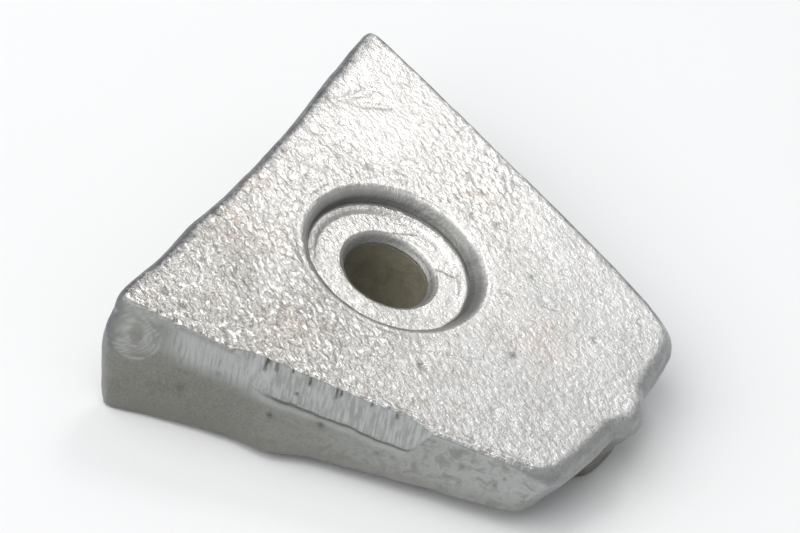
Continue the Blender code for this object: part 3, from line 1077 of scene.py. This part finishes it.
def bush_rings():
    outside = BORE_RADIUS + BUSH_WALL
    top = -(LIP_BOTTOM + CAST_SEAM)
    bevel = top - BUSH_BEVEL
    low = (BORE_RADIUS, 1.0 - TOP_AT_AXIS)
    inner = straight(low, (BORE_RADIUS, bevel), BUSH_BORE_STEPS)
    crown = [
        (BORE_RADIUS, bevel),
        (BORE_RADIUS + BUSH_BEVEL, top),
        (outside - BUSH_BEVEL, top),
        (outside, bevel),
    ]
    profile = np.vstack([inner, crown, waist_profile(outside)])
    rings = [turned_ring(r, z, BUSH_ROUND_STEPS) for r, z in profile]
    return [slid_to_seat(rings[0])] + rings + [slid_to_seat(rings[-1])]


def make_bush(material):
    """The bush: a waisted tube on the bolt's axis, cut off flush with the seat."""
    rings = bush_rings()
    ids = numbered(rings)
    faces = np.vstack(lofted((ids + ids[:1])[::-1]))
    points = np.vstack(rings)
    radius, _, spokes = bolt_distance(points)
    bore_face = rising(BORE_RADIUS + 0.1, BORE_RADIUS, radius)
    bore_face *= rising(0.0, 0.6, points[:, 2])
    relief = np.maximum(uneven(points, *BORE_LUMPS), -DEEPEST_BORE_LUMP)
    points += spokes * (relief * bore_face)[:, None]
    bush = mesh_object("steel_bush", points, faces)
    bush.data.materials.append(material)
    bush.data.shade_smooth()
    bush.data.set_sharp_from_angle(angle=math.radians(35))
    return bush


# ---------------------------------------------------------------- finishes


class Look:
    """A material's nodes, with short ways to add to them."""

    def __init__(self, name):
        self.material = bpy.data.materials.new(name)
        self.material.use_nodes = True
        self.tree = self.material.node_tree
        self.tree.nodes.clear()
        self.shader = self.node("ShaderNodeBsdfPrincipled")
        output = self.node("ShaderNodeOutputMaterial")
        self.feed(output.inputs[0], self.shader.outputs[0])
        metres = self.node("ShaderNodeTexCoord").outputs["Object"]
        scaled = self.node("ShaderNodeVectorMath", {0: metres, 3: 1.0 / MM}, operation="SCALE")
        self.mm = scaled.outputs[0]

    def feed(self, socket, value):
        """Links the socket to the value if that is a socket too, or sets it there."""
        if isinstance(value, bpy.types.NodeSocket):
            self.tree.links.new(value, socket)
        else:
            socket.default_value = value

    def node(self, kind, inputs=None, **settings):
        """A new node; inputs are plain values or the sockets to link to them."""
        made = self.tree.nodes.new(kind)
        for name, value in settings.items():
            setattr(made, name, value)
        for name, value in (inputs or {}).items():
            self.feed(made.inputs[name], value)
        return made

    def math(self, operation, a, b):
        return self.node("ShaderNodeMath", {0: a, 1: b}, operation=operation).outputs[0]

    def times(self, a, b):
        return self.math("MULTIPLY", a, b)

    def plus(self, a, b):
        return self.math("ADD", a, b)

    def mapped(self, value, low, high, to_low=0.0, to_high=1.0):
        """The value's way from low to high, eased and stretched from to_low to to_high."""
        inputs = {0: value, 1: low, 2: high, 3: to_low, 4: to_high}
        made = self.node("ShaderNodeMapRange", inputs, interpolation_type="SMOOTHSTEP")
        return made.outputs[0]

    def spread(self, texture, reach):
        """The texture's middle range, spread from -reach to reach."""
        return self.mapped(texture, 0.3, 0.7, -reach, reach)

    def mixed(self, share, a, b):
        return self.node("ShaderNodeMix", {0: share, 6: a, 7: b}, data_type="RGBA").outputs[2]

    def coated(self, color, coats):
        """The color under coats of (share, color), each laid over those before it."""
        for share, coat in coats:
            color = self.mixed(share, color, coat)
        return color

    def texture(self, coordinates, scale, detail, roughness=0.5, distortion=0.0):
        """Noise with features about one millimetre over scale across."""
        names = ("Vector", "Scale", "Detail", "Roughness", "Distortion")
        values = (coordinates, scale, detail, roughness, distortion)
        return self.node("ShaderNodeTexNoise", dict(zip(names, values))).outputs["Fac"]

    def mask(self, name, share=1.0):
        """A mask of the casting's, weakened to share, which may be a socket."""
        made = self.node("ShaderNodeAttribute", attribute_name=name).outputs["Fac"]
        return made if share == 1.0 else self.times(made, share)

    def stretched(self, run, stretch):
        """Coordinates in which a texture comes out stretched along run, in plan."""
        turn = math.atan2(run[1], run[0])
        inputs = {"Vector": self.mm, "Rotation": (0.0, 0.0, turn), "Scale": stretch}
        return self.node("ShaderNodeMapping", inputs, vector_type="TEXTURE").outputs[0]

    def finish(self, color, roughness, metallic):
        self.feed(self.shader.inputs["Base Color"], color)
        self.feed(self.shader.inputs["Roughness"], roughness)
        self.feed(self.shader.inputs["Metallic"], metallic)
        return self.material

    def emboss(self, height, strength, distance):
        """Bumps that are distance high, in metres, where height is 1."""
        inputs = {"Height": height, "Strength": strength, "Distance": distance}
        self.feed(self.shader.inputs["Normal"], self.node("ShaderNodeBump", inputs).outputs[0])


def rgb(r, g, b):
    return (r, g, b, 1.0)


ZINC_LOW = rgb(0.465, 0.447, 0.424)
ZINC_HIGH = rgb(0.81, 0.79, 0.765)
ZINC_COOL = rgb(0.605, 0.615, 0.62)
# Painted glints on the top face's grain.
ZINC_PAINTED_GLINT = rgb(0.98, 0.97, 0.95)
ZINC_STAIN = rgb(0.60, 0.51, 0.45)
# Painted shade in the hollows of the top face's grain.
ZINC_HOLLOW_SHADE = rgb(0.30, 0.295, 0.28)
SKIN_DARK = rgb(0.235, 0.235, 0.21)
SKIN_LIGHT = rgb(0.44, 0.45, 0.44)
SKIN_CLOUD = rgb(0.19, 0.19, 0.17)
SKIN_SPECK = rgb(0.16, 0.16, 0.145)
WALL_TONE = rgb(0.38, 0.38, 0.37)
# Painted shade for the crease at the recess's foot.
FOOT_SHADE_TONE = rgb(0.15, 0.15, 0.14)
ENDS_TONE = rgb(0.33, 0.34, 0.34)
# Painted shade on the top edges.
RIM_SHADE_TONE = rgb(0.145, 0.155, 0.17)
# Painted shade in pits, nicks, cracks and the crease.
PIT_SHADE_TONE = rgb(0.06, 0.06, 0.05)
# Painted shade on the lug and below the rib.
LUG_SHADE_TONE = rgb(0.20, 0.19, 0.16)
FILED_DARK = rgb(0.34, 0.345, 0.335)
FILED_LIGHT = rgb(0.49, 0.505, 0.50)
STEEL_LOW = rgb(0.225, 0.21, 0.155)
STEEL_HIGH = rgb(0.30, 0.28, 0.205)
STEEL_RUST = rgb(0.31, 0.265, 0.185)
FLOOR_LOW = rgb(0.86, 0.86, 0.86)
FLOOR_HIGH = rgb(0.89, 0.89, 0.89)

FILE_LINE_STRETCH = 14.0
ZINC_BUMP = 0.00020
STEEL_BUMP = 0.0001


def zinc_textures(look):
    """The noise that the zinc's colors and bumps share, from coarse to fine."""
    grain = look.stretched(GRAIN_ALONG, (GRAIN_STRETCH, 1.0, 1.0))
    file_run = look.stretched(NEAR_RUN, (1.0, 1.0, FILE_LINE_STRETCH))
    return SimpleNamespace(
        broad=look.texture(look.mm, 0.16, 3.0, 0.55, 0.4),
        cloud=look.texture(look.mm, 0.5, 4.0, 0.6, 0.8),
        speck=look.texture(look.mm, 1.4, 3.0, 0.65),
        pebble=look.texture(grain, 1.6, 1.5, 0.5, 0.35),
        grit=look.texture(grain, 2.1, 1.0, 0.5, 0.2),
        lines=look.texture(file_run, 3.0, 3.0, 0.6),
        fine=look.texture(grain, 4.2, 2.0, 0.6, 0.2),
    )


def top_color(look, noises, x, y):
    """The top face: bright, with painted light towards the far thick corner, painted shade in
    the hollows of its grain, and painted glints.
    """
    # Painted light: the zinc brightens towards the far thick corner, rising with y and falling
    # with x.
    rise = look.plus(y, look.spread(noises.broad, 8.0))
    rise = look.math("SUBTRACT", rise, look.times(x, 0.3))
    bright = look.mixed(look.mapped(rise, -26.0, 26.0), ZINC_LOW, ZINC_HIGH)
    cool = look.plus(x, look.spread(noises.cloud, 14.0))
    blotch = look.mapped(noises.cloud, 0.42, 0.62, 0.0, 0.75)
    # Painted shade: grey where the coarse grain (hollow) and the fine grain (fleck) are low.
    hollow = look.mapped(noises.pebble, 0.46, 0.30, 0.0, 0.4)
    # Painted glints: white spots on the top face's grain.
    painted_glint = look.mapped(noises.grit, 0.56, 0.66, 0.0, 0.8)
    fleck = look.mapped(noises.fine, 0.40, 0.28, 0.0, 0.6)
    coats = (
        (look.mapped(cool, 0.0, 22.0, 0.0, 0.55), ZINC_COOL),
        (look.mask("stain", blotch), ZINC_STAIN),
        (look.mask("grain", hollow), ZINC_HOLLOW_SHADE),
        (look.mask("grain", painted_glint), ZINC_PAINTED_GLINT),
        (look.mask("fleck", fleck), ZINC_HOLLOW_SHADE),
        (look.mask("floor", 0.35), ZINC_HIGH),
        (look.mask("wall", 0.85), WALL_TONE),
        # Painted shade at the recess's foot and on its shaded side.
        (look.mask("foot", 0.8), FOOT_SHADE_TONE),
    )
    return look.coated(bright, coats)


def wall_color(look, noises, x, z):
    """The walls: a duller cast skin, lighter towards the thin end, with darker clouds, and
    painted shade towards the seat, round the lug and below the rib.
    """
    toward_thin = look.plus(x, look.spread(noises.cloud, 6.0))
    dull = look.mixed(look.mapped(toward_thin, -8.0, 20.0), SKIN_DARK, SKIN_LIGHT)
    rubbed = look.mapped(noises.lines, 0.2, 0.6, 0.2, 0.9)
    # Painted shade: the walls darken towards the seat.
    shade_height = look.plus(z, look.spread(noises.cloud, 1.2))
    ends = look.mapped(noises.cloud, 0.25, 0.6, 1.0, 0.6)
    # Painted shade: dark from just above the seat's level downwards, over the lug, and in the
    # nook below the rib.
    low = look.math("MAXIMUM", look.mapped(z, 0.3, -1.2), look.mask("nook"))
    coats = (
        (look.mapped(noises.cloud, 0.45, 0.68, 0.0, 0.6), SKIN_CLOUD),
        (look.mapped(noises.speck, 0.5, 0.78, 0.0, 0.36), SKIN_SPECK),
        (look.mapped(noises.fine, 0.42, 0.28, 0.0, 0.4), SKIN_SPECK),
        (look.mapped(noises.fine, 0.44, 0.68, 0.0, 0.28), SKIN_LIGHT),
        (look.mask("swirl", 0.8), SKIN_LIGHT),
        # Filed colour on the burr, and a painted highlight on the edge near the blunt corner.
        (look.mask("burr", 0.5), FILED_LIGHT),
        (look.mask("scraped", rubbed), FILED_LIGHT),
        (look.mapped(shade_height, 3.0, 0.6, 0.0, 0.4), SKIN_DARK),
        (look.mask("ends", ends), ENDS_TONE),
        (look.times(low, 0.85), LUG_SHADE_TONE),
    )
    return look.coated(dull, coats)


def cast_zinc():
    look = Look("cast_zinc_look")
    noises = zinc_textures(look)
    x, y, z = look.node("ShaderNodeSeparateXYZ", {0: look.mm}).outputs
    skin, wall = look.mask("skin"), look.mask("wall")

    ragged = look.plus(look.mask("filed"), look.spread(noises.speck, 0.13))
    filed = look.mapped(ragged, -0.05, 0.1)
    filed_tone = look.mixed(look.mapped(noises.lines, 0.35, 0.65), FILED_DARK, FILED_LIGHT)
    rim = look.mapped(noises.cloud, 0.3, 0.65, 1.0, 0.6)
    coats = (
        (skin, wall_color(look, noises, x, z)),
        (look.times(filed, 0.9), filed_tone),
        # Painted shade along the top edges.
        (look.mask("rim", rim), RIM_SHADE_TONE),
        # Painted shade in pits, nicks, cracks and the crease.
        (look.mask("pit"), PIT_SHADE_TONE),
        (look.mask("under", 0.5), SKIN_CLOUD),
    )
    color = look.coated(top_color(look, noises, x, y), coats)

    rough = look.mapped(noises.fine, 0.3, 0.7, 0.26, 0.40)
    height = look.mask("grain", noises.pebble)
    for mask, share in ((skin, 0.16), (wall, 0.25), (filed, -0.08)):
        rough = look.plus(rough, look.times(mask, share))
    grooves = look.times(filed, noises.lines)
    for waves, share in ((noises.fine, 0.25), (noises.speck, 0.4), (grooves, 0.5)):
        height = look.plus(height, look.times(waves, share))
    look.emboss(height, 1.0, ZINC_BUMP)
    return look.finish(color, rough, 1.0)


def bush_steel():
    look = Look("bush_steel_look")
    broad = look.texture(look.mm, 0.35, 3.0, 0.6, 0.5)
    fine = look.texture(look.mm, 2.6, 3.0, 0.6)
    steel = look.mixed(look.mapped(broad, 0.35, 0.65), STEEL_LOW, STEEL_HIGH)
    color = look.mixed(look.mapped(fine, 0.55, 0.75, 0.0, 0.6), steel, STEEL_RUST)
    look.emboss(fine, 0.8, STEEL_BUMP)
    return look.finish(color, look.mapped(fine, 0.3, 0.7, 0.5, 0.7), 0.3)


def floor_paint():
    look = Look("floor_paint")
    look.feed(look.shader.inputs["Specular IOR Level"], 0.1)
    color = look.mixed(look.texture(look.mm, 0.02, 2.0), FLOOR_LOW, FLOOR_HIGH)
    return look.finish(color, 0.9, 0.0)


# ---------------------------------------------------------------- the studio

FLOOR_HALF = 2000.0
FLOOR_GAP = 0.05

# The camera aims this far off the middle of the CAD box. Lengths are in metres, angles
# in degrees, and the lens and the sensor in millimetres.
AIM_OFF_MIDDLE = Vector((-0.0052, 0.0011, 0.0035))
CAMERA_DISTANCE = 0.6433
CAMERA_AZIMUTH = 19.43
CAMERA_ELEVATION = 38.96
CAMERA_ROLL = 12.83
CAMERA_LENS = 270.0
SENSOR_WIDTH = 36.0

WORLD_COLOR = rgb(0.96, 0.98, 1.0)
WORLD_STRENGTH = 0.45

# (name, direction, distance, size, power, color) of the lights, in metres and watts.
LIGHTS = (
    ("key", (0.005, 0.733, 0.680), 0.6, 0.4, 0.29, (1.0, 0.985, 0.96)),
    ("spark", (-0.09, 0.55, 0.83), 0.6, 0.11, 0.26, (1.0, 1.0, 1.0)),
    ("fill", (-0.3, -0.5, 0.81), 1.0, 1.2, 10.2, (1.0, 1.0, 1.0)),
)


def make_floor():
    """A plain floor under the thick end's lower edge and the lug's inner lower edge."""
    thick = Vector((SEAT_PLAN["thick_end"] + SEAT_EDGE_RADIUS, 0.0, -FLOOR_GAP))
    lug = Vector((LUG_INNER + LUG_EDGE_RADIUS, 0.0, -LUG_DROP - FLOOR_GAP))
    slope = math.atan2(thick.z - lug.z, lug.x - thick.x)
    turn = np.array(Matrix.Rotation(slope, 3, "Y"))
    reach = (-FLOOR_HALF, FLOOR_HALF)
    grid = np.array([(x, y, 0.0) for x in reach for y in reach])
    floor = mesh_object("floor", grid @ turn.T + np.array(thick), np.array([(0, 2, 3, 1)]))
    floor.data.materials.append(floor_paint())


def make_camera():
    """A long lens on the blunt corner's side, rolled as far as the part leans in the view."""
    low, high = (np.array(corner) for corner in cad_bounds)
    target = Vector((low + high) / 2.0) + AIM_OFF_MIDDLE
    azimuth, elevation = math.radians(CAMERA_AZIMUTH), math.radians(CAMERA_ELEVATION)
    flat = math.cos(elevation)
    back = Vector(
        (math.sin(azimuth) * flat, -math.cos(azimuth) * flat, math.sin(elevation))
    )
    right = Vector((math.cos(azimuth), math.sin(azimuth), 0.0))
    turn = Matrix((right, back.cross(right), back)).transposed().to_4x4()
    roll = Matrix.Rotation(math.radians(CAMERA_ROLL), 4, "Z")
    data = bpy.data.cameras.new("camera")
    data.lens = CAMERA_LENS
    data.sensor_width = SENSOR_WIDTH
    camera = new_object("camera", data)
    camera.matrix_world = Matrix.Translation(target + back * CAMERA_DISTANCE) @ turn @ roll
    bpy.context.scene.camera = camera


def add_light(name, direction, distance, size, power, color):
    """A soft square light, seen only in what it lights, aimed at the part."""
    data = bpy.data.lights.new(name, "AREA")
    data.shape = "SQUARE"
    data.size = size
    data.energy = power
    data.color = color
    light = new_object(name, data)
    direction = Vector(direction).normalized()
    light.location = direction * distance
    light.rotation_mode = "QUATERNION"
    light.rotation_quaternion = direction.to_track_quat("Z", "Y")
    light.visible_camera = False


def make_studio():
    world = bpy.data.worlds.new("studio")
    bpy.context.scene.world = world
    world.use_nodes = True
    background = world.node_tree.nodes["Background"]
    background.inputs["Color"].default_value = WORLD_COLOR
    background.inputs["Strength"].default_value = WORLD_STRENGTH
    for light in LIGHTS:
        add_light(*light)
    bpy.context.scene.view_settings.view_transform = "Standard"


# ---------------------------------------------------------------- the scene

make_studio()
make_camera()
make_floor()

casting = make_casting(cast_zinc())
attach(casting, "root")
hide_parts("zinc_body")

bush = make_bush(bush_steel())
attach(bush, "root")
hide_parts("core_bush")
